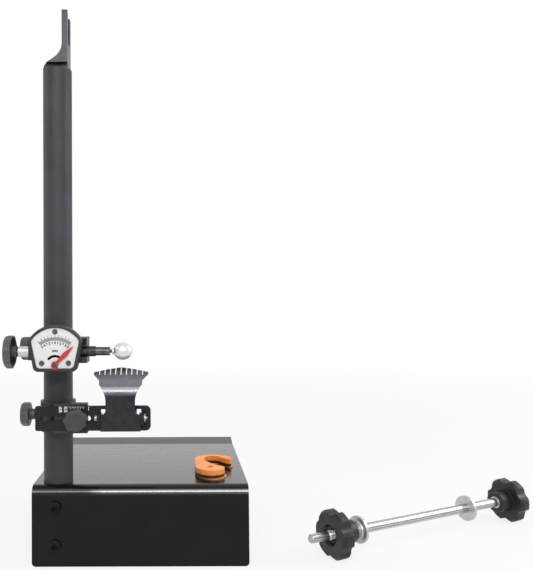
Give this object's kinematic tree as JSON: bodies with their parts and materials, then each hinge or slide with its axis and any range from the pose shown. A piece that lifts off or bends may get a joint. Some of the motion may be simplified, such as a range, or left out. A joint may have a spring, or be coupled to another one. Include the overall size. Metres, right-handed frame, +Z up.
{
  "type": "bicycle wheel truing stand",
  "caption": "Bench stand for truing wheels: a steel column on a folded base carries a dial gauge and a notched blade; a clamp axle and a hub spacer lie with it.",
  "frame": {"origin": "on the floor, at the middle of the front panel's lower front edge", "axes": "+X to the right as seen by the user, +Y to the back, +Z up"},
  "size_m": [0.5842, 0.255, 0.5686],
  "materials": {
    "base_paint": "satin",
    "column_paint": "satin",
    "head_steel": "satin",
    "black_screw": "black oxide",
    "zinc": "zinc plated",
    "bush_plastic": "matt",
    "collar_plastic": "matt",
    "knob_plastic": "matt",
    "screw_steel": "satin",
    "spring_steel": "satin",
    "dial_white": "satin",
    "needle_red": "satin",
    "arm_paint": "satin",
    "spacer_orange": "gloss",
    "spacer_black": "matt"
  },
  "bodies": {
    "stand": {"base_shell": "base_paint", "column_tube": "column_paint", "column_screws": "black_screw", "column_nuts": "zinc", "dropout_head": "head_steel"},
    "upper_sleeve": {"upper_bush": "bush_plastic"},
    "upper_gauge": {"upper_collar": "collar_plastic", "gauge_housing": "collar_plastic", "dial_plate": "dial_white", "dial_screws": "screw_steel", "needle_pivot": "screw_steel", "guide_nut": "zinc", "guide_bush": "bush_plastic", "guide_screw": "screw_steel"},
    "upper_clamp": {"upper_clamp_screw": "screw_steel", "upper_clamp_knob": "knob_plastic"},
    "plunger": {"plunger_rod": "screw_steel", "plunger_yoke": "screw_steel", "feeler_ball": "zinc", "return_spring": "spring_steel"},
    "adjuster": {"adjust_knob": "knob_plastic"},
    "pointer": {"needle": "needle_red"},
    "lower_sleeve": {"lower_bush": "bush_plastic"},
    "lower_bracket": {"lower_collar": "collar_plastic"},
    "lower_clamp": {"lower_clamp_screw": "screw_steel", "lower_clamp_knob": "knob_plastic"},
    "lock": {"lock_screw": "screw_steel", "lock_knob": "knob_plastic", "lock_washer": "zinc"},
    "arm": {"arm_plate": "arm_paint", "hinge_pin": "zinc", "pin_clip": "zinc", "blade_spring": "spring_steel"},
    "blade": {"gauge_blade": "arm_paint"},
    "axle": {"axle_rod": "zinc", "far_knob": "knob_plastic", "far_knob_insert": "zinc"},
    "near_slider": {"near_adapter": "zinc"},
    "near_handle": {"near_knob": "knob_plastic", "near_knob_insert": "zinc"},
    "far_slider": {"far_adapter": "zinc"},
    "spacer": {"spacer_top": "spacer_orange", "spacer_core": "spacer_black", "spacer_bottom": "spacer_orange"}
  },
  "joints": [
    {"name": "upper_slide", "type": "slide", "parent": "stand", "child": "upper_sleeve", "axis": [0, 0, 1], "range_m": [-0.006, 0.26]},
    {"name": "upper_swivel", "type": "hinge", "parent": "upper_sleeve", "child": "upper_gauge", "pos_m": [-0.0857, 0.0225, 0.217], "axis": [0, 0, 1], "range_deg": [-90, 90]},
    {"name": "upper_clamp_turn", "type": "hinge", "parent": "upper_gauge", "child": "upper_clamp", "pos_m": [-0.115, 0.0225, 0.2173], "axis": [-1, 0, 0], "range_deg": [0, 360]},
    {"name": "plunger_slide", "type": "slide", "parent": "upper_gauge", "child": "plunger", "axis": [-1, 0, 0], "range_m": [0, 0.012], "stiffness_N_per_m": 150, "springref_m": -0.02, "deforming": ["return_spring"]},
    {"name": "adjuster_turn", "type": "hinge", "parent": "plunger", "child": "adjuster", "pos_m": [-0.13, -0.0065, 0.2158], "axis": [-1, 0, 0], "range_deg": [0, 360]},
    {"name": "needle_turn", "type": "hinge", "parent": "upper_gauge", "child": "pointer", "pos_m": [-0.0812, -0.0235, 0.2038], "axis": [0, -1, 0], "range_deg": [0, 90]},
    {"name": "lower_slide", "type": "slide", "parent": "stand", "child": "lower_sleeve", "axis": [0, 0, 1], "range_m": [-0.05, 0.005]},
    {"name": "lower_swivel", "type": "hinge", "parent": "lower_sleeve", "child": "lower_bracket", "pos_m": [-0.0857, 0.0225, 0.148], "axis": [0, 0, 1], "range_deg": [-90, 90]},
    {"name": "lower_clamp_turn", "type": "hinge", "parent": "lower_bracket", "child": "lower_clamp", "pos_m": [-0.115, 0.0225, 0.1489], "axis": [-1, 0, 0], "range_deg": [0, 360]},
    {"name": "lock_turn", "type": "hinge", "parent": "lower_bracket", "child": "lock", "pos_m": [-0.0616, -0.015, 0.1494], "axis": [0, -1, 0], "range_deg": [0, 360]},
    {"name": "arm_slide", "type": "slide", "parent": "lower_bracket", "child": "arm", "axis": [1, 0, 0], "range_m": [-0.0052, 0.034]},
    {"name": "blade_tilt", "type": "hinge", "parent": "arm", "child": "blade", "pos_m": [-0.018, -0.0136, 0.1504], "axis": [1, 0, 0], "range_deg": [0, 30], "stiffness_Nm_per_rad": 0.05, "springref_deg": -28.65},
    {"name": "axle_lift", "type": "slide", "parent": "stand", "child": "axle", "axis": [0, 0, 1], "range_m": [0, 0.3]},
    {"name": "near_adapter_slide", "type": "slide", "parent": "axle", "child": "near_slider", "axis": [0.8949, 0.4462, 0], "range_m": [-0.015, 0.01]},
    {"name": "near_knob_turn", "type": "hinge", "parent": "near_slider", "child": "near_handle", "pos_m": [0.1712, 0.0076, 0.02403], "axis": [0.8949, 0.4462, 0], "range_deg": [-3605, 2405]},
    {"name": "far_adapter_slide", "type": "slide", "parent": "axle", "child": "far_slider", "axis": [0.8949, 0.4462, 0], "range_m": [-0.119, 0.0407]},
    {"name": "spacer_lift", "type": "slide", "parent": "stand", "child": "spacer", "axis": [0, 0, 1], "range_m": [0, 0.25]}
  ],
  "couplings": [
    {"joint": "needle_turn", "follows": "plunger_slide", "rad_per_m": 130.7},
    {"joint": "near_knob_turn", "follows": "near_adapter_slide", "rad_per_m": 4188.8}
  ]
}
